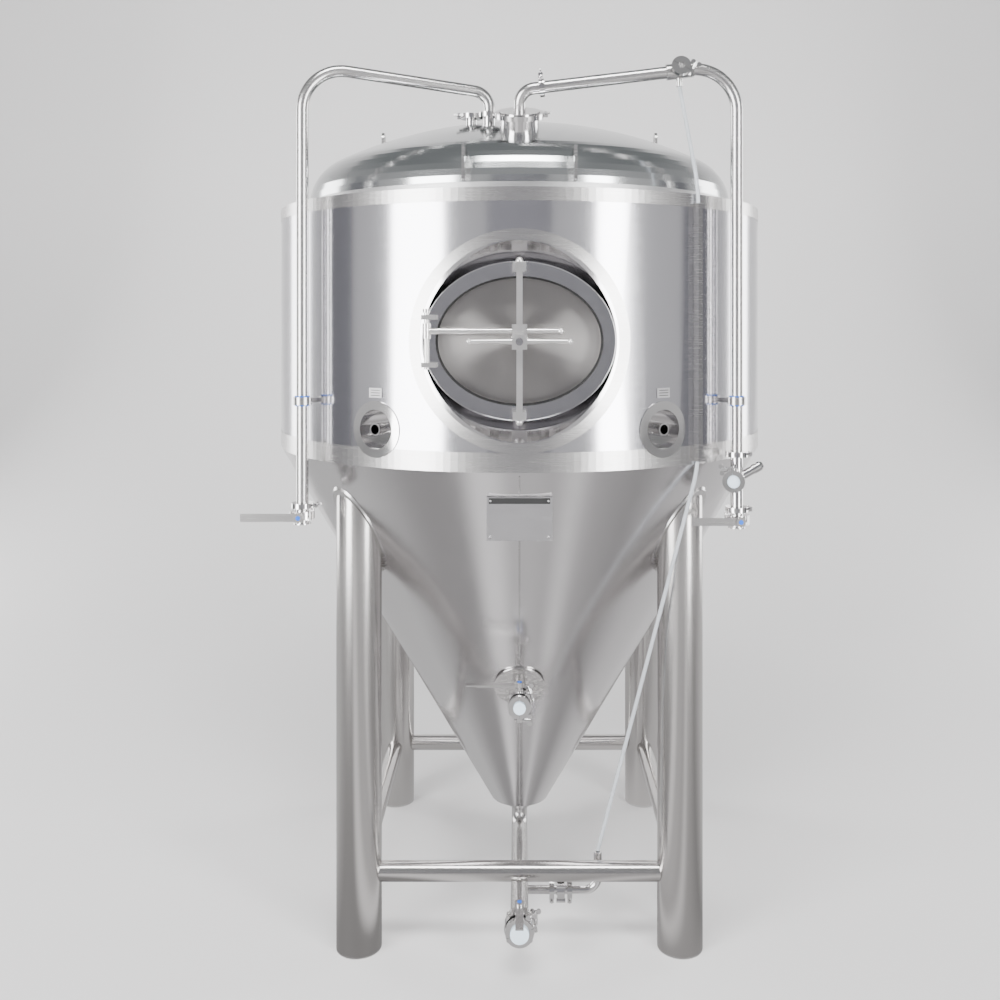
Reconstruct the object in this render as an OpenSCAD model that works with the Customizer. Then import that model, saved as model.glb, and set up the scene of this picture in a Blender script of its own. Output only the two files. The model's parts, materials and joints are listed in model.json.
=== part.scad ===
/* [Vessel] */
// Outer radius of the insulated shell
shell_r = 770; // [760:1:790]
// Outer radius of the pressure vessel inside
vessel_r = 680; // [676:1:684]
// Height of the shell's lower edge above the floor
shell_bottom = 1405; // [1395:1:1415]
// Height of the shell's upper edge above the floor
shell_top = 2145; // [2135:1:2155]
// Thickness of the polished cladding sheet
sheet = 2; // [1.5:0.5:2.5]
// Wall of the pressure vessel
wall = 3; // [3:0.5:4]

/* [Stand] */
// Distance of each leg axis from the tank's middle planes
leg_offset = 461; // [455:1:466]
// Outer radius of a leg tube
leg_r = 65; // [60:1:66]
// Height of the braces between the legs
brace_z = 216; // [210:1:225]
// Outer radius of a brace tube
brace_r = 28; // [24:1:28]

/* [Manway] */
// Height of the manway centre
manway_z = 1745; // [1740:1:1750]
// Half width of the manway opening
opening_a = 220; // [218:1:222]
// Half height of the manway opening
opening_b = 170; // [168:1:172]

/* [Pipes] */
// Outer radius of the two side lines
line_r = 17; // [16:0.5:17]
// Outer radius of the bottom outlet pipe
outlet_r = 25.5; // [25:0.5:25.5]
// Height of the bottom outlet run
outlet_z = 135; // [130:1:140]
// Distance of a side line from the middle plane, left to right
line_x = 608; // [604:1:612]
// Distance of a side line from the middle plane, front to back
line_y = 540; // [536:1:544]

/* [Hidden] */
$fn = 96;
slope = tan(30);
cone_end_r = 92;
cone_end_z = shell_bottom - (shell_r - cone_end_r) / slope;
vessel_end_r = 45;
vessel_end_z = shell_bottom - (vessel_r - vessel_end_r) / slope;
crown_r = 2 * vessel_r;
knuckle_r = vessel_r / 5;
head_base = shell_top + 26;
knuckle_turn = asin((vessel_r - knuckle_r) / (crown_r - knuckle_r));
crown_z = head_base - (crown_r - knuckle_r) * cos(knuckle_turn);
gap = 0.4;
run_gap = 0.05;
weld_gap = 0.01;
pipe_bore = line_r - 1.5;
outlet_bore = outlet_r - 1.5;
frame_a = opening_a + 32;
frame_b = opening_b + 38;
frame_back = 705;
frame_face = 735;
well_r = 262;
door_a = opening_a + 12;
door_b = opening_b + 12;
door_face = 696;
stud_r = 10;
arm_up = 26;
arm_depth = 745;
arm_r = 8;
pin_x = -243;
yoke_depth = 756;
tee_depth = 781;
neck_tilt = 22;
neck_r = 57;
neck_flange_r = 63;
neck_top = crown_r + 48;
cip_x = -89;
cip_y = -400;
cip_top = 2400;
glycol_turn = 30;
glycol_z = 1507;
glycol_r = 55;
racking_z = 720;
racking_r = shell_r - (shell_bottom - racking_z) * slope;
level_y = -410;
level_x = 229;
guard_turn = 38.8;
guard_r = shell_r + 10;
guard_low = 1400;
guard_high = 2165;
guard_w = 17;
tube_r = 5.5;
cip_valve_z = 1256;
gas_valve_z = 1245;
racking_valve_y = -(racking_r + 150);
outlet_valve_y = -600;
level_valve_x = 120;
tee_x = 451;
gas_rise = 75;
neck_out = [0, -sin(neck_tilt), cos(neck_tilt)];
cap_top = [0, 0, crown_z] + (neck_top + 8) * neck_out;
gas_corner = [0, 0, crown_z] + (neck_top + 66) * neck_out;
gas_high = [line_x, -line_y, gas_corner[2] + gas_rise];
gas_dir = (gas_high - gas_corner) / norm(gas_high - gas_corner);
gas_split = gas_corner + 62 * gas_dir;
tee_at = gas_corner + tee_x * gas_dir;
guard_x = guard_r * sin(guard_turn);
guard_y = -guard_r * cos(guard_turn);
tube_points = [tee_at - [0, 0, 45], [guard_x, guard_y, guard_high], [guard_x, guard_y, guard_low],
    [level_x, level_y, 250]];
cross_z = 1425;
joint_z = 26;
gauge_dir = [0, -0.98058, 0.19612];
steel = "silver";
bright = "gainsboro";

function unit(v) = v / norm(v);

// Puts a child's z axis along a direction, at a point
module aim(at, along) {
    d = unit(along);
    translate(at)
        rotate([0, acos(d[2]), atan2(d[1], d[0])])
            children();
}

// A rod between two points
module rod(a, b, r) {
    aim(a, b - a)
        cylinder(r = r, h = norm(b - a));
}

// One round bend from direction d to direction e about the corner p, solid where the bore is 0
module bend(p, d, e, bend_r, r, bore) {
    turn = acos(d * e);
    middle = p + unit(e - d) * bend_r / cos(turn / 2);
    start = unit((p - d * bend_r * tan(turn / 2)) - middle);
    up = cross(start, d);
    multmatrix([[start[0], d[0], up[0], middle[0]], [start[1], d[1], up[1], middle[1]],
        [start[2], d[2], up[2], middle[2]], [0, 0, 0, 1]])
        difference() {
            rotate_extrude(angle = turn)
                translate([bend_r, 0])
                    circle(r = r);
            if (bore > 0)
                rotate_extrude(angle = turn)
                    translate([bend_r, 0])
                        circle(r = bore);
        }
}

// A pipe that follows points: straight lengths butt-welded to a round bend at each inner point
module bent_pipe(points, radii, r, bore) {
    n = len(points);
    dirs = [for (i = [0:n - 2]) unit(points[i + 1] - points[i])];
    cuts = [for (i = [0:n - 1])
        (i == 0 || i == n - 1) ? 0 : radii[i - 1] * tan(acos(dirs[i - 1] * dirs[i]) / 2) + weld_gap];
    for (i = [0:n - 2])
        difference() {
            rod(points[i] + dirs[i] * cuts[i], points[i + 1] - dirs[i] * cuts[i + 1], r);
            if (bore > 0)
                rod(points[i] + dirs[i] * (cuts[i] - 1), points[i + 1] - dirs[i] * (cuts[i + 1] - 1), bore);
        }
    for (i = [1:n - 2])
        bend(points[i], dirs[i - 1], dirs[i], radii[i - 1], r, bore);
}

// A ring between two radii
module ring(outer, inner, h) {
    difference() {
        cylinder(r = outer, h = h);
        translate([0, 0, -1])
            cylinder(r = inner, h = h + 2);
    }
}

// An upright oval block and an oval ring
module oval(a, b, h) {
    linear_extrude(h)
        polygon([for (i = [0:95]) [a * cos(i * 3.75), b * sin(i * 3.75)]]);
}

module oval_ring(a, b, in_a, in_b, h) {
    difference() {
        oval(a, b, h);
        translate([0, 0, -1])
            oval(in_a, in_b, h + 2);
    }
}

// Looks out of the front of the tank at a height, with z pointing forwards
module on_front(z) {
    translate([0, 0, z])
        rotate([90, 0, 0])
            children();
}

// Stands at the four leg axes
module at_legs() {
    for (x = [-1, 1])
        for (y = [-1, 1])
            translate([x * leg_offset, y * leg_offset, 0])
                children();
}

module leg_holes() {
    at_legs()
        translate([0, 0, 600])
            cylinder(r = leg_r + gap, h = 800);
}

module glycol_holes(r) {
    for (side = [-1, 1])
        rotate([0, 0, side * glycol_turn])
            on_front(glycol_z)
                cylinder(r = r, h = shell_r + 20);
}

// A cone wall given by its outer radius at the shell's lower edge
module cone_wall(top_r, end_r, thick) {
    end_z = shell_bottom - (top_r - end_r) / slope;
    rotate_extrude()
        polygon([[end_r - thick, end_z], [end_r, end_z], [top_r, shell_bottom], [top_r - thick, shell_bottom]]);
}

module solid_cone(top_r, grow) {
    translate([0, 0, shell_bottom - grow - top_r / slope])
        cylinder(r1 = 0, r2 = top_r, h = top_r / slope);
}

module vessel_barrel() color(steel)
    difference() {
        translate([0, 0, shell_bottom])
            ring(vessel_r, vessel_r - wall, head_base - shell_bottom - gap);
        on_front(manway_z)
            oval(frame_a + gap, frame_b + gap, shell_r);
        glycol_holes(18);
    }

module vessel_cone() color(steel)
    difference() {
        union() {
            cone_wall(vessel_r, vessel_end_r, wall + 1);
            translate([0, 0, cone_end_z - 24])
                ring(outlet_r, outlet_r - 1.5, vessel_end_z - cone_end_z + 24);
            translate([0, 0, vessel_end_z])
                ring(vessel_end_r, outlet_r - 1.5, 4);
        }
        on_front(racking_z)
            cylinder(r = line_r + 1, h = shell_r);
    }

// Dished head made of a crown, a knuckle and a short straight edge
module head_solid(shrink) {
    crown = crown_r - shrink;
    knuckle = knuckle_r - shrink;
    steps = 24;
    rotate_extrude()
        polygon(concat([[0, head_base], [vessel_r - shrink, head_base]],
            [for (i = [1:8]) [vessel_r - knuckle_r + knuckle * cos(i * (90 - knuckle_turn) / 8),
                head_base + knuckle * sin(i * (90 - knuckle_turn) / 8)]],
            [for (i = [1:steps]) [crown * sin(knuckle_turn * (1 - i / steps)),
                crown_z + crown * cos(knuckle_turn * (1 - i / steps))]]));
}

module top_head() color(bright)
    difference() {
        head_solid(0);
        translate([0, 0, -0.01])
            head_solid(wall);
        translate([0, 0, crown_z])
            rotate([neck_tilt, 0, 0])
                cylinder(r = neck_r - 2, h = crown_r + 50);
        translate([cip_x, cip_y, head_base])
            cylinder(r = line_r + 1.2, h = 400);
        translate([cip_x - 55, cip_y + 70, head_base])
            cylinder(r = line_r, h = 400);
    }

module cooling_jacket() color(steel)
    difference() {
        translate([0, 0, shell_bottom + 40])
            ring(vessel_r + 12, vessel_r + gap, 560);
        on_front(manway_z)
            oval(frame_a + 12, frame_b + 12, shell_r);
        glycol_holes(17 + gap);
    }

module shell_insulation() color("khaki")
    difference() {
        translate([0, 0, shell_bottom])
            ring(shell_r - sheet - gap, vessel_r + 12 + gap, shell_top - shell_bottom - 4);
        on_front(manway_z)
            cylinder(r = well_r + 6, h = shell_r + 20);
        glycol_holes(glycol_r + 4);
        at_legs()
            translate([0, 0, 1300])
                cylinder(r = leg_r + gap, h = 101);
    }

module cone_insulation() color("khaki")
    difference() {
        rotate_extrude()
            polygon([[outlet_r + gap, cone_end_z + 4], [cone_end_r - sheet - 1, cone_end_z + 4],
                [shell_r - sheet * 2 - 1, shell_bottom - gap], [vessel_r + 1, shell_bottom - gap],
                [vessel_end_r + 1, vessel_end_z - gap], [outlet_r + gap, vessel_end_z - gap]]);
        leg_holes();
        on_front(racking_z)
            cylinder(r = line_r + 1, h = shell_r);
    }

module shell_cladding() color(bright)
    difference() {
        translate([0, 0, shell_bottom])
            ring(shell_r, shell_r - sheet, shell_top - shell_bottom);
        on_front(manway_z)
            cylinder(r = well_r + 3, h = shell_r + 20);
        glycol_holes(glycol_r + 3);
    }

module cone_cladding() color(steel)
    difference() {
        cone_wall(shell_r, cone_end_r, sheet + 0.3);
        leg_holes();
        on_front(racking_z)
            cylinder(r = line_r + gap, h = shell_r);
    }

module top_cover_ring() color(bright)
    translate([0, 0, shell_top - 2])
        ring(shell_r - sheet - 0.1, vessel_r + gap, 2);

module cone_end_cap() color(bright)
    translate([0, 0, cone_end_z])
        rotate_extrude()
            polygon([[outlet_r + 0.1, -8], [60, -8], [80, -5], [cone_end_r - 2, -0.2], [outlet_r + 0.1, -0.2]]);

module leg(x, y) color(steel)
    difference() {
        translate([x * leg_offset, y * leg_offset, 6])
            ring(leg_r, leg_r - 3, shell_bottom - 16);
        solid_cone(vessel_r, 1);
        translate([0, 0, shell_bottom - 1])
            cylinder(r = shell_r, h = 60);
    }

module leg_collars() color(bright)
    intersection() {
        at_legs()
            translate([0, 0, 900])
                ring(leg_r + 9, leg_r + 0.1, 480);
        difference() {
            solid_cone(shell_r, 9);
            solid_cone(shell_r, 0);
        }
    }

module foot_plates() color(steel)
    at_legs()
        cylinder(r = leg_r, h = 6);

module brace(turn) color(steel)
    rotate([0, 0, turn])
        difference() {
            translate([-leg_offset, -leg_offset, brace_z])
                rotate([0, 90, 0])
                    ring(brace_r, brace_r - 2, 2 * leg_offset);
            at_legs()
                cylinder(r = leg_r + 0.05, h = 600);
        }

// A smooth wall from the round hole in the shell down to the oval frame
module well_form(grow) {
    hull() {
        translate([0, 0, 773])
            cylinder(r = well_r + grow, h = 1, $fn = 64);
        translate([0, 0, 708 - grow / 3])
            oval(frame_a + 0.5 + grow, frame_b + 0.5 + grow, 1);
    }
}

module manway_well() color(bright)
    difference() {
        union() {
            intersection() {
                on_front(manway_z)
                    well_form(2.5);
                cylinder(r = shell_r + 0.5, h = 2500);
            }
            intersection() {
                translate([0, 0, manway_z - 400])
                    ring(shell_r + 2.5, shell_r + 0.1, 800);
                on_front(manway_z)
                    translate([0, 0, 600])
                        cylinder(r = well_r + 30, h = 300);
            }
        }
        on_front(manway_z) {
            well_form(0);
            translate([0, 0, 690])
                oval(frame_a + 0.5, frame_b + 0.5, 20);
        }
    }

module manway_frame() color(bright)
    difference() {
        on_front(manway_z)
            union() {
                translate([0, 0, frame_back])
                    oval_ring(frame_a, frame_b, opening_a, opening_b, frame_face - frame_back);
                translate([0, 0, 600])
                    oval_ring(frame_a, frame_b, door_a + 6, door_b + 6, frame_back - 600 + 1);
            }
        cylinder(r = vessel_r - wall, h = 2500);
    }

module yoke_hooks() color(bright)
    for (side = [-1, 1])
        on_front(manway_z)
            translate([0, side * (opening_b + 22), frame_face])
                difference() {
                    translate([-17, -11, 0])
                        cube([34, 22, 50]);
                    translate([-8.5, -12, yoke_depth - frame_face - gap])
                        cube([17, 24, 50]);
                }

// An oval plate with a thicker rim, which bears on the frame from inside
module manway_door() color(steel)
    on_front(manway_z)
        difference() {
            translate([0, 0, door_face - 8])
                oval(door_a, door_b, 8);
            translate([0, 0, door_face - 4])
                oval(opening_a - 4, opening_b - 4, 5);
        }

module manway_gasket() color("dimgray")
    on_front(manway_z)
        translate([0, 0, door_face])
            oval_ring(door_a, door_b, opening_a - 4, opening_b - 4, frame_back - door_face - gap);

module manway_stud() color(bright)
    on_front(manway_z) {
        translate([0, 0, door_face - 4])
            cylinder(r = 24, h = 10);
        translate([0, 0, door_face + 6])
            cylinder(r = stud_r, h = 96);
    }

module manway_yoke() color(bright)
    on_front(manway_z)
        difference() {
            union() {
                translate([-8, -opening_b - 36, yoke_depth])
                    cube([16, 2 * opening_b + 72, 22]);
                translate([0, 0, yoke_depth])
                    cylinder(r = 20, h = 24);
                for (side = [-1, 1])
                    translate([0, side * (opening_b + 38), yoke_depth + 11])
                        sphere(r = 10);
            }
            translate([0, 0, yoke_depth - 1])
                cylinder(r = stud_r + gap, h = 30);
        }

module manway_arm() color(bright)
    on_front(manway_z)
        difference() {
            union() {
                rod([pin_x, arm_up, arm_depth], [105, arm_up, arm_depth], arm_r);
                translate([108, arm_up, arm_depth])
                    sphere(r = 10);
                rod([pin_x, arm_up - 20, arm_depth], [pin_x, arm_up + 20, arm_depth], 9.8);
            }
            rod([pin_x, -100, arm_depth], [pin_x, 100, arm_depth], 6 + gap);
        }

module arm_block() color("whitesmoke")
    on_front(manway_z)
        difference() {
            translate([-20, -22, frame_face + 0.5])
                cube([40, 66, yoke_depth - frame_face - 1]);
            translate([0, 0, frame_face - 5])
                cylinder(r = stud_r + gap, h = 40);
            rod([-30, arm_up, arm_depth], [30, arm_up, arm_depth], arm_r + run_gap);
        }

module arm_hinge_bracket() color(bright)
    on_front(manway_z)
        difference() {
            for (y = [-62, 62])
                translate([pin_x - 12, y - 6, frame_face])
                    cube([40, 12, 26]);
            rod([pin_x, -100, arm_depth], [pin_x, 100, arm_depth], 6 + run_gap);
        }

module arm_hinge_pin() color(bright)
    on_front(manway_z) {
        rod([pin_x, -74, arm_depth], [pin_x, 74, arm_depth], 6);
        rod([pin_x, 74, arm_depth], [pin_x, 84, arm_depth], 9);
    }

module tee_handle() color(bright)
    on_front(manway_z)
        difference() {
            union() {
                translate([0, 0, tee_depth])
                    cylinder(r = 19, h = 22);
                for (side = [-1, 1]) {
                    aim([0, 0, tee_depth + 13], [side, 0, 0])
                        cylinder(r1 = 8.5, r2 = 5, h = 128);
                    translate([side * 130, 0, tee_depth + 13])
                        sphere(r = 7.5);
                }
            }
            translate([0, 0, tee_depth - 1])
                cylinder(r = stud_r + run_gap, h = 60);
        }

module on_neck() {
    translate([0, 0, crown_z])
        rotate([neck_tilt, 0, 0])
            children();
}

module top_neck() color(bright)
    on_neck()
        difference() {
            union() {
                translate([0, 0, crown_r - 8])
                    cylinder(r = neck_r - 2.2, h = neck_top - crown_r + 8 - 3);
                translate([0, 0, neck_top - 6])
                    cylinder(r = neck_flange_r, h = 3);
            }
            translate([0, 0, crown_r - 20])
                cylinder(r = neck_r - 5, h = 90);
        }

module top_cap() color(bright)
    difference() {
        on_neck() {
            translate([0, 0, neck_top - 3])
                cylinder(r = neck_flange_r, h = 3);
            translate([0, 0, neck_top - 1])
                cylinder(r = neck_r - 0.5, h = 9);
        }
        aim([0, 0, crown_z], neck_out)
            cylinder(r = line_r - 0.15, h = neck_top + 100);
    }

// A pair of ferrule flanges round a pipe, centred on the joint
module ferrules(flange_r, bore_r) {
    translate([0, 0, -3])
        ring(flange_r, bore_r, 6);
}

module cip_port() color(bright)
    translate([cip_x, cip_y, 0]) {
        translate([0, 0, cip_top - 38])
            ring(line_r + 0.9, line_r + run_gap, 35);
        translate([0, 0, cip_top])
            ferrules(25, line_r + 0.1);
    }

module spare_port() color(bright)
    translate([cip_x - 55, cip_y + 70, cip_top - 18]) {
        ring(line_r - 0.1, line_r - 2, 24);
        translate([0, 0, 24])
            cylinder(r = 25, h = 6);
    }

module lifting_eyes() color(steel)
    for (side = [-1, 1])
        translate([side * 450 - 4, 0, 2355])
            difference() {
                union() {
                    translate([0, -25, 0])
                        cube([8, 50, 40]);
                    translate([0, 0, 40])
                        rotate([0, 90, 0])
                            cylinder(r = 25, h = 8);
                }
                translate([-1, 0, 40])
                    rotate([0, 90, 0])
                        cylinder(r = 13, h = 10);
                translate([4 - side * 450, 0, crown_z - 2355])
                    sphere(r = crown_r + 0.2, $fn = 128);
            }

module ladder_lugs() color(bright)
    for (side = [-1, 1])
        difference() {
            translate([side * 150 - 4, 0, 0])
                rotate([90, 0, 90])
                    linear_extrude(8)
                        polygon([[-600, head_base + 100], [-690, head_base + 96], [-700, head_base + 4],
                            [-660, head_base + 2]]);
            translate([0, 0, 0.3])
                head_solid(-0.2);
            translate([0, 0, shell_bottom])
                cylinder(r = vessel_r + 0.3, h = head_base - shell_bottom + 1);
        }

module cip_line() color(steel) {
    bent_pipe([[cip_x, cip_y, 2250], [cip_x, cip_y, 2465], [-line_x, -line_y, 2515],
        [-line_x, -line_y, cip_valve_z + joint_z]], [48, 115], line_r - 0.1, pipe_bore);
    translate([-line_x, -line_y, cip_valve_z + joint_z + run_gap])
        ring(line_r + 7, line_r - 0.1 + run_gap, 3);
}

module spray_ball() color(bright)
    translate([cip_x, cip_y, 2215])
        difference() {
            sphere(r = 38);
            sphere(r = 36.5);
            for (row = [-40, 0, 40])
                for (turn = [0:45:179])
                    rotate([0, row, turn])
                        translate([0, 0, -50])
                            cylinder(r = 2, h = 100, $fn = 16);
            cylinder(r = line_r, h = 60);
        }

module gas_elbow() color(steel)
    bent_pipe([cap_top - 20 * neck_out, gas_corner, gas_split - 0.3 * gas_dir], [44], line_r - 0.2, pipe_bore);

module gas_line() color(steel) {
    bent_pipe([gas_split + 0.3 * gas_dir, gas_high, [line_x, -line_y, cross_z]], [115], line_r, pipe_bore);
    aim(tee_at - 38 * gas_dir, gas_dir)
        ring(line_r + 5, line_r + 0.05, 76);
    translate([line_x, -line_y, cross_z])
        ring(line_r + 7, line_r + run_gap, 3);
    aim(tee_at + 24 * gauge_dir, gauge_dir)
        cylinder(r = 8, h = 7);
    aim(tee_at + 30 * gauge_dir, gauge_dir)
        cylinder(r = 20.5, h = 6);
    difference() {
        rod(tee_at, tee_at - [0, 0, 44], 9);
        rod(tee_at, tee_at - [0, 0, 60], tube_r + 0.1);
        aim(tee_at - 60 * gas_dir, gas_dir)
            cylinder(r = line_r + 5.05, h = 120);
    }
}

module gas_cross() color(bright)
    translate([line_x, -line_y, 0])
        difference() {
            union() {
                translate([0, 0, gas_valve_z + joint_z])
                    cylinder(r = line_r, h = cross_z - gas_valve_z - joint_z - 0.1);
                for (z = [gas_valve_z + joint_z, cross_z - 3.1])
                    translate([0, 0, z])
                        cylinder(r = line_r + 7, h = 3);
                translate([0, 0, 1355])
                    rotate([90, 0, -20])
                        cylinder(r = line_r, h = 46);
                translate([0, 0, 1355])
                    rotate([0, 60, 0])
                        cylinder(r = 12, h = 52);
                translate([0, 0, 1355])
                    sphere(r = 23);
            }
            translate([0, 0, gas_valve_z + 20])
                cylinder(r = line_r - 1.5, h = cross_z - gas_valve_z);
            translate([0, 0, 1355])
                rotate([90, 0, -20])
                    cylinder(r = line_r - 1.5, h = 60);
            translate([0, 0, 1355])
                rotate([0, 60, 0])
                    cylinder(r = 5 + run_gap, h = 60);
        }

module relief_knob() color(bright)
    translate([line_x, -line_y, 1355])
        rotate([0, 60, 0]) {
            translate([0, 0, 40])
                cylinder(r = 5, h = 16);
            translate([0, 0, 53])
                cylinder(r = 14, h = 22);
            translate([0, 0, 75])
                cylinder(r1 = 14, r2 = 9, h = 8);
        }

// The two pipe brackets, and the channel that guards the level tube on the shell
module line_brackets() color(bright) {
    rotate([0, 0, guard_turn])
        difference() {
            translate([-guard_w / 2, -guard_r - 9, guard_low + 14])
                cube([guard_w, guard_r + 9 - shell_r - 0.3, shell_top - guard_low - 40]);
            translate([1.5 - guard_w / 2, -guard_r - 7.5, guard_low])
                cube([guard_w - 3, 16, guard_high - guard_low]);
        }
    for (side = [-1, 1])
        translate([side * line_x, -line_y, 1563])
            rotate([0, 0, side * atan2(line_x, line_y)]) {
                ring(line_r + 8, line_r + 4.2, 22);
                difference() {
                    translate([-6, 0, 5])
                        cube([12, norm([line_x, line_y]) - shell_r + 0.5, 12]);
                    translate([0, 0, -1])
                        cylinder(r = line_r + 7, h = 30);
                    rotate([0, 0, -side * atan2(line_x, line_y)])
                        translate([-side * line_x, line_y, -10])
                            cylinder(r = shell_r + 0.1, h = 60);
                }
            }
}

module bracket_liners() color("dodgerblue")
    for (side = [-1, 1])
        translate([side * line_x, -line_y, 1560])
            ring(line_r + 4, line_r + 0.2, 28);

module glycol_ports() color(bright)
    for (side = [-1, 1])
        rotate([0, 0, side * glycol_turn])
            on_front(glycol_z) {
                intersection() {
                    union() {
                        translate([0, 0, vessel_r + 20])
                            ring(glycol_r, glycol_r - 2, 100);
                        translate([0, 0, vessel_r + 20])
                            ring(glycol_r, 17.2, 2);
                        translate([0, 0, vessel_r + 40])
                            ring(76, glycol_r - 2, 60);
                    }
                    rotate([-90, 0, 0])
                        translate([0, 0, -200])
                            difference() {
                                cylinder(r = shell_r + 3, h = 400);
                                translate([0, 0, 200 - 200])
                                    difference() {
                                        cylinder(r = shell_r + 0.1, h = 400);
                                        translate([0, 0, 200])
                                            rotate([90, 0, 0])
                                                cylinder(r = glycol_r + 0.1, h = shell_r + 20);
                                    }
                            }
                }
                translate([0, 0, vessel_r - 10])
                    ring(17, 13, 104);
            }

module data_plate() color(bright)
    difference() {
        union() {
            translate([-86, -737, 1223])
                cube([172, 3, 114]);
            for (x = [-86, 84])
                translate([x, -735, 1223])
                    cube([2, 110, 114]);
            translate([-84, -735, 1333])
                cube([168, 30, 4]);
            for (x = [-76, 76])
                for (z = [1233, 1327])
                    translate([x, -737, z])
                        sphere(r = 3.5);
        }
        solid_cone(shell_r, 0.5);
    }

module racking_port() color(bright)
    difference() {
        union() {
            translate([0, -racking_r, racking_z])
                rotate([120, 0, 0])
                    cylinder(r = 75, h = 5);
            on_front(racking_z)
                translate([0, 0, racking_r - 110])
                    cylinder(r = line_r, h = 110 - racking_r - racking_valve_y - 26.5);
        }
        on_front(racking_z)
            translate([0, 0, racking_r - 120])
                cylinder(r = line_r - 1.5, h = 400);
        difference() {
            solid_cone(shell_r, 0.4);
            on_front(racking_z)
                cylinder(r = line_r, h = 900);
        }
    }

module outlet_pipe() color(steel) {
    difference() {
        bent_pipe([[0, 0, cone_end_z - 24.4], [0, 0, outlet_z], [0, outlet_valve_y + 27, outlet_z]],
            [50], outlet_r, outlet_bore);
        rod([0, level_y, outlet_z], [level_valve_x, level_y, outlet_z], 10.5);
    }
    difference() {
        rod([0, level_y, outlet_z], [level_valve_x - 27, level_y, outlet_z], 12);
        rod([0, level_y, outlet_z], [level_valve_x, level_y, outlet_z], 10.5);
        rod([0, level_y - 60, outlet_z], [0, level_y + 60, outlet_z], outlet_r + weld_gap);
    }
}

// Places a valve: flow runs along local z and the stem rises along local x
module at_cip_valve() {
    translate([-line_x, -line_y, cip_valve_z])
        rotate([0, 0, -90])
            children();
}

module at_gas_valve() {
    translate([line_x, -line_y, gas_valve_z])
        rotate([0, 0, -90])
            children();
}

module at_racking_valve() {
    translate([0, racking_valve_y, racking_z])
        rotate([90, -90, 0])
            children();
}

module at_outlet_valve() {
    translate([0, outlet_valve_y, outlet_z])
        rotate([90, -90, 0])
            children();
}

module at_level_valve() {
    translate([level_valve_x, level_y, outlet_z])
        rotate([0, -90, 0])
            children();
}

module valve_body(r) {
    difference() {
        union() {
            translate([0, 0, -11])
                cylinder(r = r + 17, h = 22);
            translate([0, 0, -26])
                cylinder(r = r, h = 52);
            for (z = [-26, 23])
                translate([0, 0, z])
                    cylinder(r = r + 7, h = 3);
            translate([r, 0, 0])
                rotate([0, 90, 0])
                    cylinder(r = 9, h = 26);
            for (turn = [45:90:359])
                rotate([0, 0, turn])
                    translate([r + 17, 0, -13])
                        cylinder(r = 6, h = 26);
        }
        translate([0, 0, -30])
            cylinder(r = r - 1.5, h = 60);
        translate([0, 0, -7])
            cylinder(r = r + 4, h = 14);
        rotate([0, 90, 0])
            cylinder(r = 4 + run_gap, h = r + 40);
    }
}

module valve_seat(r) {
    difference() {
        translate([0, 0, -6.9])
            ring(r + 3.9, r - 1.5, 13.8);
        rotate([0, 90, 0])
            cylinder(r = 4 + gap, h = r + 40);
    }
}

// Disc, stem and lever turn together; facing sets the lever's direction round the stem
module valve_lever(r, facing, reach) {
    rotate([facing, 0, 0]) {
        rotate([90, 0, 0])
            rotate([90, 0, 0])
                translate([0, 0, -1.25])
                    cylinder(r = r - 1.5 - gap, h = 2.5);
        rotate([0, 90, 0])
            cylinder(r = 4, h = r + 44);
        translate([r + 30, 0, 0])
            rotate([0, 90, 0])
                cylinder(r = 13, h = 14);
        translate([r + 34, -reach, -11])
            cube([4, reach, 22]);
        translate([r + 30, -reach * 0.8, -7])
            cube([4.5, reach * 0.75, 14]);
    }
}

module valve_bodies() color(bright) {
    at_cip_valve()
        valve_body(line_r);
    at_gas_valve()
        valve_body(line_r);
    at_racking_valve()
        valve_body(line_r);
    at_outlet_valve()
        valve_body(outlet_r);
    at_level_valve()
        valve_body(12);
    bent_pipe([[level_valve_x + 26.4, level_y, outlet_z], [level_x, level_y, outlet_z],
        [level_x, level_y, 247]], [38], 12, tube_r + 0.6);
}

module valve_seats() color("white") {
    at_cip_valve()
        valve_seat(line_r);
    at_gas_valve()
        valve_seat(line_r);
    at_racking_valve()
        valve_seat(line_r);
    at_outlet_valve()
        valve_seat(outlet_r);
    at_level_valve()
        valve_seat(12);
}

module cip_valve_lever() color(steel)
    at_cip_valve()
        valve_lever(line_r, 0, 160);

module gas_valve_lever() color(steel)
    at_gas_valve()
        valve_lever(line_r, 0, 135);

module racking_valve_lever() color(steel)
    at_racking_valve()
        valve_lever(line_r, 180, 150);

module outlet_valve_lever() color(steel)
    at_outlet_valve()
        valve_lever(outlet_r, -90, 120);

module level_valve_lever() color(steel)
    at_level_valve()
        valve_lever(12, 90, 60);

// A hinged ring clamp in two halves with its bolt and wing nut
module ring_clamp(flange_r, pipe_r, turn) {
    rotate([0, 0, turn]) {
        difference() {
            translate([0, 0, -7])
                ring(flange_r + 6, pipe_r + 1, 14);
            translate([0, 0, -3.6])
                cylinder(r = flange_r + 0.8, h = 7.2);
            translate([-flange_r - 10, -0.5, -10])
                cube([2 * flange_r + 20, 1, 20]);
        }
        for (side = [0, 1])
            mirror([0, side, 0])
                translate([flange_r + 3, 0.5, -6])
                    cube([14, 6, 12]);
        translate([flange_r + 11, -14, 0])
            rotate([-90, 0, 0])
                cylinder(r = 3.5, h = 44);
        translate([flange_r + 11, 12, 0])
            rotate([-90, 0, 0])
                cylinder(r = 6.5, h = 12);
        for (side = [-1, 1])
            translate([flange_r + 11 + side * 9, 28, -2])
                cylinder(r = 7, h = 4);
    }
}

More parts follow.
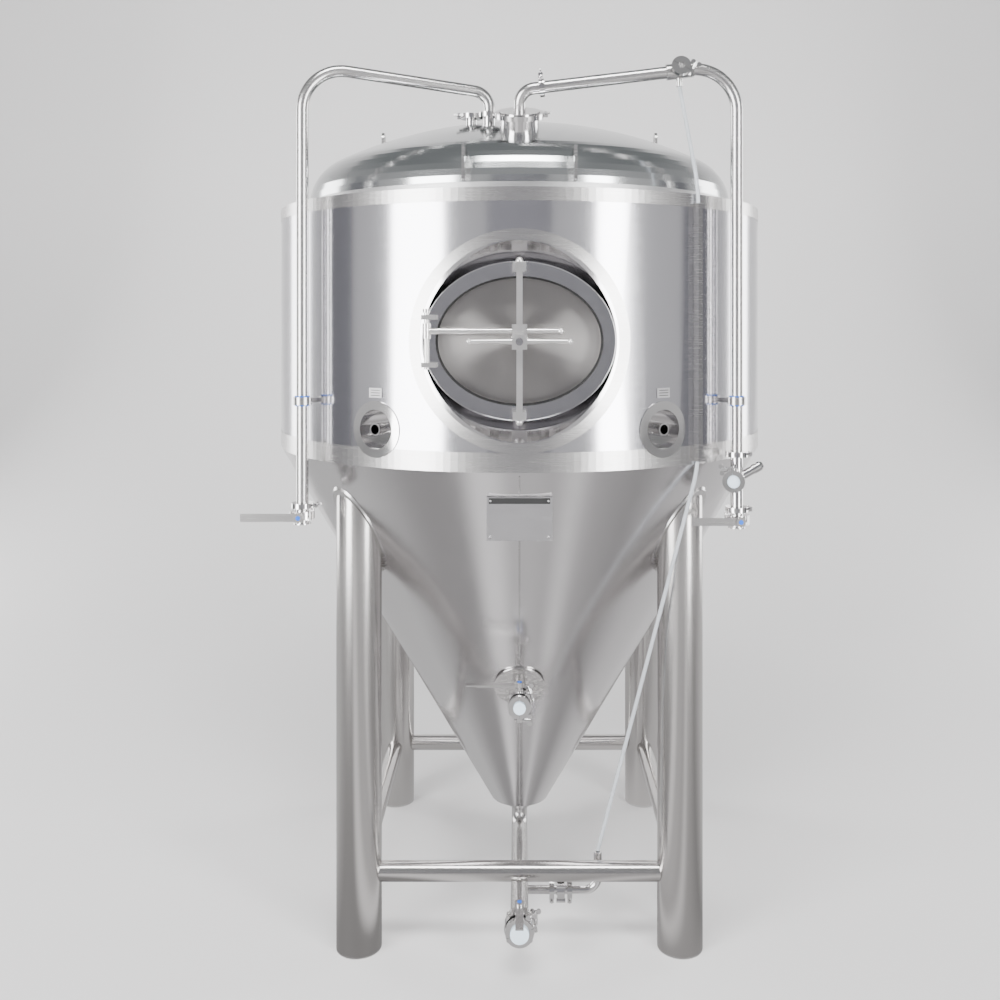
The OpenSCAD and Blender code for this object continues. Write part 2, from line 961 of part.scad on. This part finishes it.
module clamp_rings() color(bright) {
    translate([cip_x, cip_y, cip_top])
        ring_clamp(25, line_r, -35);
    translate([cip_x - 55, cip_y + 70, cip_top + 9])
        ring_clamp(25.2, line_r, 180);
    on_neck()
        translate([0, 0, neck_top - 3])
            ring_clamp(neck_flange_r, neck_r, 0);
    aim(gas_split, gas_dir)
        ring_clamp(21, line_r, 180);
    aim(tee_at + 33 * gauge_dir, gauge_dir)
        ring_clamp(21, 8, 60);
    translate([-line_x, -line_y, cip_valve_z + joint_z])
        ring_clamp(25, line_r, 0);
    translate([line_x, -line_y, gas_valve_z + joint_z])
        ring_clamp(25, line_r, 0);
    translate([line_x, -line_y, cross_z])
        ring_clamp(25, line_r, 0);
    translate([line_x, -line_y, 1355])
        rotate([90, 0, -20])
            translate([0, 0, 49.5])
                ring_clamp(25, line_r, 100);
    translate([0, racking_valve_y + joint_z, racking_z])
        rotate([90, 0, 0])
            ring_clamp(25, line_r, 20);
    translate([0, racking_valve_y - joint_z, racking_z])
        rotate([90, 0, 0])
            ring_clamp(25, line_r, -90);
    translate([0, outlet_valve_y - joint_z, outlet_z])
        rotate([90, 0, 0])
            ring_clamp(33, outlet_r, 20);
    translate([0, outlet_valve_y + joint_z, outlet_z])
        rotate([90, 0, 0])
            ring_clamp(33, outlet_r, 0);
    for (x = [-joint_z, joint_z])
        translate([level_valve_x + x, level_y, outlet_z])
            rotate([0, 90, 0])
                ring_clamp(19.5, 12, 0);
    translate([0, 0, cone_end_z - 24])
        ring_clamp(33, outlet_r, 45);
}

module blank(pipe_r) {
    cylinder(r = pipe_r + 7, h = 3.2);
    translate([0, 0, 3])
        cylinder(r = pipe_r, h = 11);
}

module blank_caps() color("aliceblue") {
    translate([0, racking_valve_y - 26.2, racking_z])
        rotate([90, 0, 0])
            blank(line_r);
    translate([0, outlet_valve_y - 26.2, outlet_z])
        rotate([90, 0, 0])
            blank(outlet_r);
    translate([line_x, -line_y, 1355])
        rotate([90, 0, -20])
            translate([0, 0, 46.5])
                cylinder(r = 24.5, h = 6);
}

module level_tube() color("lightcyan")
    bent_pipe(tube_points, [60, 60], tube_r, 0);

vessel_barrel();
vessel_cone();
top_head();
cooling_jacket();
shell_insulation();
cone_insulation();
shell_cladding();
cone_cladding();
top_cover_ring();
cone_end_cap();
leg(-1, -1);  // leg_front_left
leg(1, -1);  // leg_front_right
leg(-1, 1);  // leg_rear_left
leg(1, 1);  // leg_rear_right
leg_collars();
foot_plates();
brace(0);  // brace_front
brace(180);  // brace_rear
brace(270);  // brace_left
brace(90);  // brace_right
manway_well();
manway_frame();
yoke_hooks();
manway_door();
manway_gasket();
manway_stud();
manway_yoke();
manway_arm();
arm_block();
arm_hinge_bracket();
arm_hinge_pin();
tee_handle();
top_neck();
top_cap();
cip_port();
spare_port();
lifting_eyes();
ladder_lugs();
cip_line();
spray_ball();
gas_elbow();
gas_line();
gas_cross();
relief_knob();
line_brackets();
bracket_liners();
glycol_ports();
data_plate();
racking_port();
outlet_pipe();
valve_bodies();
valve_seats();
cip_valve_lever();
gas_valve_lever();
racking_valve_lever();
outlet_valve_lever();
level_valve_lever();
clamp_rings();
blank_caps();
level_tube();
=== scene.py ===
"""Looks of the conical fermenter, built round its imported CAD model."""

import json
import math

import bpy
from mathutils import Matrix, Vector


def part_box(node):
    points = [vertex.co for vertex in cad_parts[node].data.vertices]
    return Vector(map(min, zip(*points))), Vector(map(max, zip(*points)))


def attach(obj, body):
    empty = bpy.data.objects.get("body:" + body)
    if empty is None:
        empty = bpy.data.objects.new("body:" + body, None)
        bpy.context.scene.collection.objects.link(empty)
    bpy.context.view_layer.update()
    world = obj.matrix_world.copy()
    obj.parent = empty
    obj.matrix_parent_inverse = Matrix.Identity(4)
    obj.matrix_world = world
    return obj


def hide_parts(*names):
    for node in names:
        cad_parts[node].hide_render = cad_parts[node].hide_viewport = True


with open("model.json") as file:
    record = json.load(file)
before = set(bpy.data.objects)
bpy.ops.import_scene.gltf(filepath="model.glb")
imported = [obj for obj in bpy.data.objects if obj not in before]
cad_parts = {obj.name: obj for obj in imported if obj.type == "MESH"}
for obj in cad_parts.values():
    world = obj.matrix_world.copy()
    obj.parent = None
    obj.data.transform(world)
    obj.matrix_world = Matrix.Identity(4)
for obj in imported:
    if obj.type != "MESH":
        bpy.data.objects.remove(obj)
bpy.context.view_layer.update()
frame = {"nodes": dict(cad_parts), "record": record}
nodes = frame["nodes"]

# ---------------------------------------------------------------- materials


def principled(name, color, metallic, roughness):
    mat = bpy.data.materials.new(name)
    mat.use_nodes = True
    shader = mat.node_tree.nodes["Principled BSDF"]
    shader.inputs["Base Color"].default_value = (*color, 1)
    shader.inputs["Metallic"].default_value = metallic
    shader.inputs["Roughness"].default_value = roughness
    return mat, shader


def link(mat, source, target):
    mat.node_tree.links.new(source, target)


def noise(mat, stretch, scale, detail=3.0):
    """Noise in object space, stretched by three factors."""
    coord = mat.node_tree.nodes.new("ShaderNodeTexCoord")
    mapping = mat.node_tree.nodes.new("ShaderNodeMapping")
    mapping.inputs["Scale"].default_value = stretch
    tex = mat.node_tree.nodes.new("ShaderNodeTexNoise")
    tex.inputs["Scale"].default_value = scale
    tex.inputs["Detail"].default_value = detail
    link(mat, coord.outputs["Object"], mapping.inputs["Vector"])
    link(mat, mapping.outputs["Vector"], tex.inputs["Vector"])
    return tex.outputs["Fac"]


def spread(mat, value, low, high):
    """Maps noise around 0.5 to the range from low to high."""
    node = mat.node_tree.nodes.new("ShaderNodeMapRange")
    node.inputs["From Min"].default_value = 0.3
    node.inputs["From Max"].default_value = 0.7
    node.inputs["To Min"].default_value = low
    node.inputs["To Max"].default_value = high
    link(mat, value, node.inputs["Value"])
    return node.outputs["Result"]


def metal(name, color, rough, grain=(1, 1, 60), scale=9.0, depth=0.02, vary=0.06):
    """Steel with a fine grain: depth is the grain's bump and vary its change in gloss."""
    mat, shader = principled(name, color, 1.0, rough)
    fine = noise(mat, grain, scale)
    link(mat, spread(mat, fine, rough - vary, rough + vary), shader.inputs["Roughness"])
    bump = mat.node_tree.nodes.new("ShaderNodeBump")
    bump.inputs["Strength"].default_value = depth
    bump.inputs["Distance"].default_value = 0.001
    link(mat, fine, bump.inputs["Height"])
    link(mat, bump.outputs["Normal"], shader.inputs["Normal"])
    return mat


def plain(name, color, rough, transmission=0.0):
    mat, shader = principled(name, color, 0.0, rough)
    shader.inputs["Transmission Weight"].default_value = transmission
    shader.inputs["IOR"].default_value = 1.45
    return mat


def turned(name, color, rough, amount):
    """Steel brushed in circles round its own Y axis."""
    mat, shader = principled(name, color, 1.0, rough)
    shader.inputs["Anisotropic"].default_value = amount
    shader.inputs["Anisotropic Rotation"].default_value = 0.25
    tangent = mat.node_tree.nodes.new("ShaderNodeTangent")
    tangent.direction_type = "RADIAL"
    tangent.axis = "Y"
    link(mat, tangent.outputs["Tangent"], shader.inputs["Tangent"])
    return mat


looks = {
    "mirror_steel": metal("mirror_steel", (0.64, 0.635, 0.665), 0.14, (1, 1, 40), 12, 0.006, 0.02),
    "satin_steel": metal("satin_steel", (0.58, 0.57, 0.565), 0.26, (1, 1, 60), 10, 0.01, 0.02),
    "polished_steel": metal("polished_steel", (0.72, 0.71, 0.71), 0.10, (1, 1, 1), 20, 0.004, 0.02),
    "mill_steel": metal("mill_steel", (0.5, 0.5, 0.5), 0.4),
    "plate_steel": metal("plate_steel", (0.56, 0.55, 0.56), 0.34, (1, 1, 30), 20, 0.02, 0.04),
    "foam": plain("foam", (0.8, 0.7, 0.45), 0.9),
    # gasket_rubber also paints the shade ring at the manway door and the shadow strip on the data plate
    "gasket_rubber": plain("gasket_rubber", (0.02, 0.02, 0.02), 0.5),
    "seat_rubber": plain("seat_rubber", (0.8, 0.8, 0.78), 0.5),
    "blue_silicone": plain("blue_silicone", (0.01, 0.13, 0.62), 0.35),
    "white_plastic": plain("white_plastic", (0.70, 0.82, 0.92), 0.3),
    "clear_tube": plain("clear_tube", (0.62, 0.65, 0.69), 0.12, 0.3),
}
cone_steel = metal("cone_steel", (0.66, 0.645, 0.65), 0.20, (6, 6, 0.3), 5, 0.003, 0.015)
dome_steel = metal("dome_steel", (0.60, 0.615, 0.62), 0.15, (1, 1, 1), 4, 0.003, 0.01)
leg_steel = metal("leg_steel", (0.52, 0.505, 0.495), 0.21, (1, 1, 90), 10, 0.012, 0.02)
door_steel = turned("door_steel", (0.40, 0.385, 0.375), 0.30, 0.95)
well_steel = metal("well_steel", (0.64, 0.63, 0.64), 0.13, (1, 1, 1), 10, 0.004, 0.02)
frame_steel = metal("frame_steel", (0.56, 0.555, 0.57), 0.17, (1, 1, 4), 16, 0.006, 0.02)
bright_steel = metal("bright_steel", (0.86, 0.845, 0.83), 0.30, (1, 1, 1), 20, 0.004, 0.02)
own_looks = {
    "cone_cladding": cone_steel,
    "top_head": dome_steel,
    "manway_well": well_steel,
    "manway_frame": frame_steel,
    "manway_door": door_steel,
    "arm_block": bright_steel,
    "tee_handle": bright_steel,
    "manway_yoke": bright_steel,
    "yoke_hooks": bright_steel,
    "manway_arm": bright_steel,
    "arm_hinge_pin": bright_steel,
    "arm_hinge_bracket": bright_steel,
}
for name in nodes:
    if name.startswith(("leg_front", "leg_rear", "brace_")):
        own_looks[name] = leg_steel

for part in frame["record"]["subparts"]:
    obj = nodes[part["node"]]
    look = own_looks.get(part["node"], looks[part["material_slot"]])
    for index in range(len(obj.material_slots)):
        obj.material_slots[index].link = "OBJECT"
        obj.material_slots[index].material = look

# ---------------------------------------------------------------- level tube

# from the gas line's tee down the guard channel to the small valve at the bottom
tube_route = [
    (0.4475, -0.5432, 2.4514),
    (0.4888, -0.6079, 2.165),
    (0.4888, -0.6079, 1.40),
    (0.229, -0.41, 0.25),
]
TUBE_RADIUS = 0.0055
BEND = 0.05
# length of a bezier handle, as a share of the bend
HANDLE = 0.55


def smooth_curve(name, route, radius, bend, look):
    """A round tube along straight stretches joined by bends."""
    points = [Vector(p) for p in route]
    data = bpy.data.curves.new(name, "CURVE")
    data.dimensions = "3D"
    data.bevel_depth = radius
    data.bevel_resolution = 5
    data.resolution_u = 16
    data.use_fill_caps = True
    spline = data.splines.new("BEZIER")
    knots = [(points[0], None, (points[1] - points[0]) * 0.1)]
    for before, here, after in zip(points, points[1:], points[2:]):
        back = (before - here).normalized() * bend
        ahead = (after - here).normalized() * bend
        knots.append((here + back, back * HANDLE, -back * HANDLE))
        knots.append((here + ahead, -ahead * HANDLE, ahead * HANDLE))
    knots.append((points[-1], (points[-2] - points[-1]) * 0.1, None))
    spline.bezier_points.add(len(knots) - 1)
    for point, (place, back, ahead) in zip(spline.bezier_points, knots):
        point.co = place
        point.handle_left = place + (back if back is not None else -ahead)
        point.handle_right = place + (ahead if ahead is not None else -back)
    data.materials.append(look)
    obj = bpy.data.objects.new(name, data)
    bpy.context.scene.collection.objects.link(obj)
    return obj


tube = smooth_curve("level_hose", tube_route, TUBE_RADIUS, BEND, looks["clear_tube"])
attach(tube, "tank")
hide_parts("level_tube")

# ---------------------------------------------------------------- small details

FRONT = Vector((0, -1, 0))
SHELL_R, SHELL_BOTTOM, SHELL_TOP = 0.770, 1.405, 2.145
CONE_SLOPE = math.tan(math.radians(30))
MANWAY_Z, OPENING_A, OPENING_B = 1.745, 0.220, 0.170
# how far a band stands off the shell at its inner and outer face, and how tall each one is
BAND_INNER, BAND_OUTER = 0.0001, 0.0012
UPPER_BAND, LOWER_BAND = 0.036, 0.052
BAND_STEPS = 240
PORT_TURN = math.radians(30)
PORT_Z, LABEL_RISE = 1.507, 0.098


def add_piece(name, data, look, body):
    data.materials.append(look)
    obj = bpy.data.objects.new(name, data)
    bpy.context.scene.collection.objects.link(obj)
    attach(obj, body)
    return obj


def mesh_of(name, verts, faces, smooth=True):
    data = bpy.data.meshes.new(name)
    data.from_pydata([tuple(v) for v in verts], [], faces)
    for face in data.polygons:
        face.use_smooth = smooth
    return data


def turned_ring(name, profile, look, body, steps):
    """A closed profile of (radius, height) turned round the tank's axis."""
    verts, faces = [], []
    count = len(profile)
    for i in range(steps):
        turn = 2 * math.pi * i / steps
        verts += [(r * math.cos(turn), r * math.sin(turn), z) for r, z in profile]
        for j in range(count):
            k, n = (j + 1) % count, ((i + 1) % steps) * count
            faces.append((i * count + j, n + j, n + k, i * count + k))
    return add_piece(name, mesh_of(name, verts, faces, False), look, body)


def band(name, low, high, look):
    inner, outer = SHELL_R + BAND_INNER, SHELL_R + BAND_OUTER
    profile = [(inner, low), (outer, low), (outer, high), (inner, high)]
    turned_ring(name, profile, look, "tank", BAND_STEPS)


band("upper_band", SHELL_TOP - UPPER_BAND, SHELL_TOP, looks["satin_steel"])
band("lower_band", SHELL_BOTTOM, SHELL_BOTTOM + LOWER_BAND, looks["satin_steel"])


def bead(name, points, radius, look, body, closed=False):
    data = bpy.data.curves.new(name, "CURVE")
    data.dimensions = "3D"
    data.bevel_depth = radius
    data.bevel_resolution = 3
    data.use_fill_caps = not closed
    spline = data.splines.new("POLY")
    spline.points.add(len(points) - 1)
    for point, place in zip(spline.points, points):
        point.co = (*place, 1)
    spline.use_cyclic_u = closed
    return add_piece(name, data, look, body)


def cone_r(z):
    return SHELL_R - (SHELL_BOTTOM - z) * CONE_SLOPE


SEAM_R = 0.0022
# the seam down the front of the cone, above and below the racking port: low end and high end
for name, low, high in (("cone_seam_upper", 0.81, 1.395), ("cone_seam_lower", 0.245, 0.63)):
    ends = [(0, -cone_r(low), low), (0, -cone_r(high), high)]
    bead(name, ends, SEAM_R, looks["satin_steel"], "tank")


def oval_points(a, b, depth, middle_z, count=128):
    return [(a * math.cos(2 * math.pi * i / count), -depth, middle_z + b * math.sin(2 * math.pi * i / count))
            for i in range(count)]


def shell_patch(name, inner, outer, lift, middle_z, look):
    """A flat round ring bent round the front of the shell, lift off its surface."""
    verts, faces, count = [], [], 160
    for r in (inner, outer):
        for i in range(count):
            turn = 2 * math.pi * i / count
            x, rise = r * math.cos(turn), r * math.sin(turn)
            verts.append((x, -math.sqrt((SHELL_R + lift) ** 2 - x * x), middle_z + rise))
    faces = [(i, (i + 1) % count, count + (i + 1) % count, count + i) for i in range(count)]
    return add_piece(name, mesh_of(name, verts, faces), look, "tank")


shell_patch("well_rim_brushed", 0.263, 0.2915, 0.0030, MANWAY_Z, looks["satin_steel"])
# a black ring in gasket rubber round the door's rim: painted shade of the gap between door and frame
bead("door_gap_shadow_ring", oval_points(OPENING_A - 0.002, OPENING_B - 0.002, 0.6972, MANWAY_Z), 0.0024,
     looks["gasket_rubber"], "manway_door", True)
bead("frame_weld", oval_points(OPENING_A + 0.0325, OPENING_B + 0.0385, 0.7352, MANWAY_Z), 0.0018,
     frame_steel, "tank", True)


def disc(name, centre, axis, radius, thick, look, body):
    """A small round disc with one face at centre, standing out along axis."""
    axis = Vector(axis)
    side = axis.orthogonal().normalized()
    up = axis.cross(side)
    count = 32
    turns = [2 * math.pi * i / count for i in range(count)]
    rim = [Vector(centre) + radius * (math.cos(turn) * side + math.sin(turn) * up) for turn in turns]
    verts = rim + [v + axis * thick for v in rim]
    faces = [tuple(range(count - 1, -1, -1)), tuple(range(count, 2 * count))]
    faces += [(i, (i + 1) % count, count + (i + 1) % count, count + i) for i in range(count)]
    return add_piece(name, mesh_of(name, verts, faces, False), look, body)


RACKING_Z, RACKING_REACH = 0.720, 0.150
RACKING_Y = -(cone_r(RACKING_Z) + RACKING_REACH)
HUB_DOT_R, HUB_DOT_THICK = 0.0062, 0.0012
for body, centre, axis in (("cip_valve", (-0.608, -0.6010, 1.256), (0, -1, 0)),
                           ("gas_valve", (0.608, -0.6010, 1.245), (0, -1, 0)),
                           ("racking_valve", (0, RACKING_Y, 0.781), (0, 0, 1)),
                           ("outlet_valve", (0, -0.600, 0.2045), (0, 0, 1)),
                           ("level_valve", (0.120, -0.410, 0.191), (0, 0, 1))):
    disc(body + "_hub_dot", centre, axis, HUB_DOT_R, HUB_DOT_THICK, looks["blue_silicone"], body)


def slab(name, centre, out, size, look, body):
    """A thin plate centred at centre, facing out; size is width, height and thickness."""
    out = Vector(out).normalized()
    side = Vector((0, 0, 1)).cross(out).normalized()
    up = out.cross(side)
    w, h, t = (v / 2 for v in size)
    verts = [Vector(centre) + x * w * side + y * h * up + z * t * out
             for z in (-1, 1) for y in (-1, 1) for x in (-1, 1)]
    faces = [(0, 2, 3, 1), (4, 5, 7, 6), (0, 1, 5, 4), (2, 6, 7, 3), (0, 4, 6, 2), (1, 3, 7, 5)]
    return add_piece(name, mesh_of(name, verts, faces, False), look, body)


LABEL_SIZE, MARK_SIZE = (0.042, 0.026, 0.0016), (0.030, 0.0018, 0.0006)
LABEL_LIFT, MARK_LIFT, MARK_PITCH = 0.0012, 0.0022, 0.007
# a label over each cooling port, with three plain bars in place of its text
for side, word in ((-1, "left"), (1, "right")):
    out = Vector((side * math.sin(PORT_TURN), -math.cos(PORT_TURN), 0))
    place = out * (SHELL_R + LABEL_LIFT)
    slab("port_label_" + word, (place.x, place.y, PORT_Z + LABEL_RISE), out, LABEL_SIZE, looks["plate_steel"],
         "tank")
    mark = out * (SHELL_R + MARK_LIFT)
    for row in (MARK_PITCH, 0.0, -MARK_PITCH):
        slab("port_mark_%s_%d" % (word, round((row + MARK_PITCH) * 1000)),
             (mark.x, mark.y, PORT_Z + LABEL_RISE + row), out, MARK_SIZE, looks["gasket_rubber"], "tank")

plate_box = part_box("data_plate")
plate_mid = [(a + b) / 2 for a, b in zip(*plate_box)]
# a black strip along the top of the data plate: painted shadow where the plate stands off the cone
slab("data_plate_shadow_strip", (plate_mid[0], plate_box[0][1] + 0.003, plate_box[1][2] - 0.010), FRONT,
     (plate_box[1][0] - plate_box[0][0] - 0.012, 0.015, 0.001), looks["gasket_rubber"], "tank")

# ---------------------------------------------------------------- studio


def softbox(name, place, size, power, aim=(0, 0, 1.5), color=(1, 1, 1)):
    light = bpy.data.lights.new(name, "AREA")
    light.shape = "RECTANGLE"
    light.size, light.size_y = size
    light.energy = power
    light.color = color
    obj = bpy.data.objects.new(name, light)
    obj.location = place
    obj.rotation_euler = (Vector(aim) - Vector(place)).to_track_quat("-Z", "Y").to_euler()
    bpy.context.scene.collection.objects.link(obj)


def flag(name, place, size, look, aim=(0, 0, 1.5)):
    """A flat studio panel that the polished steel reflects."""
    bpy.ops.mesh.primitive_plane_add(size=1, location=place)
    obj = bpy.context.object
    obj.name = name
    obj.scale = (*size, 1)
    obj.rotation_euler = (Vector(aim) - Vector(place)).to_track_quat("Z", "Y").to_euler()
    obj.data.materials.append(look)
    obj.visible_camera = False
    obj.visible_diffuse = False
    obj.visible_shadow = False


softbox("softbox_left", (-4.4, -4.6, 2.0), (2.6, 5.0), 640)
softbox("softbox_right", (4.0, -4.8, 2.0), (1.5, 5.0), 420)
softbox("softbox_top", (0, -3.2, 6.5), (3.0, 1.2), 300)
softbox("fill_rear_left", (-5.0, 2.5, 2.0), (2.0, 4.0), 200)
softbox("fill_rear_right", (5.0, 2.5, 2.0), (2.0, 4.0), 200)

dark = plain("dark_panel", (0.10, 0.10, 0.11), 0.9)
flag("panel_behind_camera", (0, -7.0, 2.2), (3.4, 5.5), plain("grey_panel", (0.20, 0.20, 0.215), 0.9))
flag("panel_left", (-6.2, -0.4, 2.0), (2.2, 5.0), dark)
flag("panel_right", (6.2, -0.6, 2.0), (2.2, 5.0), dark)

world = bpy.data.worlds.new("studio")
world.use_nodes = True
tree = world.node_tree
coord = tree.nodes.new("ShaderNodeTexCoord")
split = tree.nodes.new("ShaderNodeSeparateXYZ")
ramp = tree.nodes.new("ShaderNodeValToRGB")
ramp.color_ramp.elements[0].color = (0.68, 0.675, 0.68, 1)
ramp.color_ramp.elements[0].position = 0.1
ramp.color_ramp.elements[1].color = (0.24, 0.25, 0.255, 1)
ramp.color_ramp.elements[1].position = 0.75
tree.links.new(coord.outputs["Generated"], split.inputs["Vector"])
tree.links.new(split.outputs["Z"], ramp.inputs["Fac"])
tree.links.new(ramp.outputs["Color"], tree.nodes["Background"].inputs["Color"])
bpy.context.scene.world = world


def floor_card():
    """A round card over the floor that only the steel reflects: light and dark wedges round the tank."""
    mat = bpy.data.materials.new("floor_card")
    mat.use_nodes = True
    nodes_of = mat.node_tree.nodes
    nodes_of.clear()
    out = nodes_of.new("ShaderNodeOutputMaterial")
    glow = nodes_of.new("ShaderNodeEmission")
    place = nodes_of.new("ShaderNodeTexCoord")
    turn = nodes_of.new("ShaderNodeTexGradient")
    turn.gradient_type = "RADIAL"
    tones = nodes_of.new("ShaderNodeValToRGB")
    # each pair is a place round the tank and its tone; the place runs from the left
    # through the front (0.25) to the right (0.5) and the rear
    stops = ((0.0, 0.80), (0.10, 0.42), (0.165, 0.40), (0.19, 1.35), (0.215, 1.25), (0.235, 0.72),
             (0.27, 0.78), (0.30, 0.62), (0.325, 1.20), (0.35, 0.58), (0.42, 0.38), (0.5, 0.80),
             (0.62, 0.95), (0.75, 0.6), (1.0, 0.8))
    ramp_of = tones.color_ramp
    ramp_of.elements[0].position, ramp_of.elements[1].position = stops[0][0], stops[-1][0]
    ramp_of.elements[0].color = ramp_of.elements[1].color = (stops[0][1],) * 3 + (1,)
    for where, tone in stops[1:-1]:
        ramp_of.elements.new(where).color = (tone, tone * 0.985, tone * 0.99, 1)
    mat.node_tree.links.new(place.outputs["Object"], turn.inputs["Vector"])
    mat.node_tree.links.new(turn.outputs["Fac"], tones.inputs["Fac"])
    mat.node_tree.links.new(tones.outputs["Color"], glow.inputs["Color"])
    mat.node_tree.links.new(glow.outputs["Emission"], out.inputs["Surface"])
    bpy.ops.mesh.primitive_circle_add(vertices=64, radius=5, fill_type="NGON", location=(0, 0, 0.002))
    card = bpy.context.object
    card.name = "floor_card"
    card.data.materials.append(mat)
    card.visible_camera = card.visible_diffuse = card.visible_shadow = False


floor_card()


def sweep(name, half_width, front, back, top, radius):
    """A seamless studio sweep: floor, curve and wall."""
    line = [(front, 0.0)]
    for step in range(13):
        turn = math.pi / 2 * step / 12
        line.append((back - radius + radius * math.sin(turn), radius - radius * math.cos(turn)))
    line.append((back, top))
    verts = [(side * half_width, y, z) for y, z in line for side in (-1, 1)]
    faces = [(2 * i, 2 * i + 1, 2 * i + 3, 2 * i + 2) for i in range(len(line) - 1)]
    data = bpy.data.meshes.new(name)
    data.from_pydata(verts, [], faces)
    for face in data.polygons:
        face.use_smooth = True
    data.materials.append(plain(name, (0.80, 0.79, 0.79), 0.9))
    obj = bpy.data.objects.new(name, data)
    bpy.context.scene.collection.objects.link(obj)


sweep("sweep", 14, -9, 5.5, 9, 3.0)

camera_data = bpy.data.cameras.new("camera")
camera_data.lens = 37.8
camera_data.sensor_width = 36
camera_data.shift_x = -0.0195
camera_data.shift_y = -0.18
camera = bpy.data.objects.new("camera", camera_data)
camera.location = (0, -3.48, 1.80)
camera.rotation_euler = (math.pi / 2, 0, 0)
bpy.context.scene.collection.objects.link(camera)
bpy.context.scene.camera = camera
